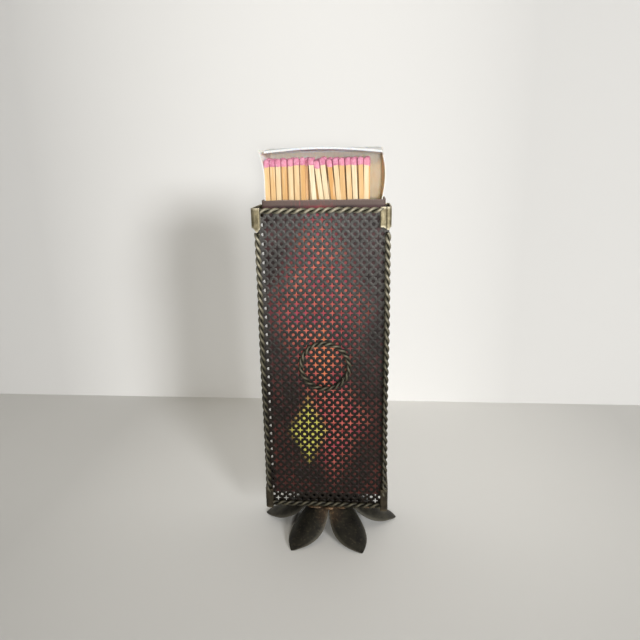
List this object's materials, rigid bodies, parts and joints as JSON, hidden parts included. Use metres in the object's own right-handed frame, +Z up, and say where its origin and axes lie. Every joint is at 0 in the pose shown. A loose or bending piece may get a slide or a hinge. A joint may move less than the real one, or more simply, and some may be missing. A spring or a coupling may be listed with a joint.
{
  "type": "matchbox holder",
  "caption": "Upright table holder of pierced metal sheet with twisted wire edging and a leaf-shaped foot, holding a long matchbox with its tray drawn up.",
  "frame": {"origin": "middle of the leaf foot, on the table under it", "axes": "+Z up along the matchbox, +X to the right and -Y out of the front, which carries the ring"},
  "size_m": [0.0634, 0.0552, 0.173],
  "materials": {
    "pierced_sheet": "dark patina on pierced sheet",
    "edging_wire": "olive patina, rubbed bright on the crests",
    "strap_metal": "olive patina",
    "leaf_metal": "dark slate patina",
    "solder": "coppery solder",
    "sleeve_card": "printed card",
    "striker": "rough striking surface",
    "tray_card": "white card",
    "match_wood": "pale sawn wood",
    "match_head": "dry pink head"
  },
  "bodies": {
    "holder": {"front_panel": "pierced_sheet", "back_panel": "pierced_sheet", "front_top_wire": "edging_wire", "front_bottom_wire": "edging_wire", "front_left_wire": "edging_wire", "front_right_wire": "edging_wire", "back_top_wire": "edging_wire", "back_bottom_wire": "edging_wire", "back_left_wire": "edging_wire", "back_right_wire": "edging_wire", "front_ring": "edging_wire", "top_left_strap": "strap_metal", "top_right_strap": "strap_metal", "bottom_left_strap": "strap_metal", "bottom_right_strap": "strap_metal", "leaf_right": "leaf_metal", "leaf_back_right": "leaf_metal", "leaf_back_left": "leaf_metal", "leaf_left": "leaf_metal", "leaf_front_left": "leaf_metal", "leaf_front_right": "leaf_metal", "hub": "leaf_metal", "solder_pads": "solder"},
    "sleeve": {"sleeve": "sleeve_card", "left_striker": "striker", "right_striker": "striker"},
    "tray": {"tray": "tray_card", "sticks_row_1": "match_wood", "sticks_row_2": "match_wood", "sticks_row_3": "match_wood", "sticks_row_4": "match_wood", "sticks_row_5": "match_wood", "sticks_row_6": "match_wood", "heads_row_1": "match_head", "heads_row_2": "match_head", "heads_row_3": "match_head", "heads_row_4": "match_head", "heads_row_5": "match_head", "heads_row_6": "match_head"}
  },
  "joints": [
    {"name": "sleeve_lift", "type": "slide", "parent": "holder", "child": "sleeve", "axis": [0, 0, 1], "range_m": [0, 0.134]},
    {"name": "tray_slide", "type": "slide", "parent": "sleeve", "child": "tray", "axis": [0, 0, 1], "range_m": [-0.02, 0.118]}
  ]
}
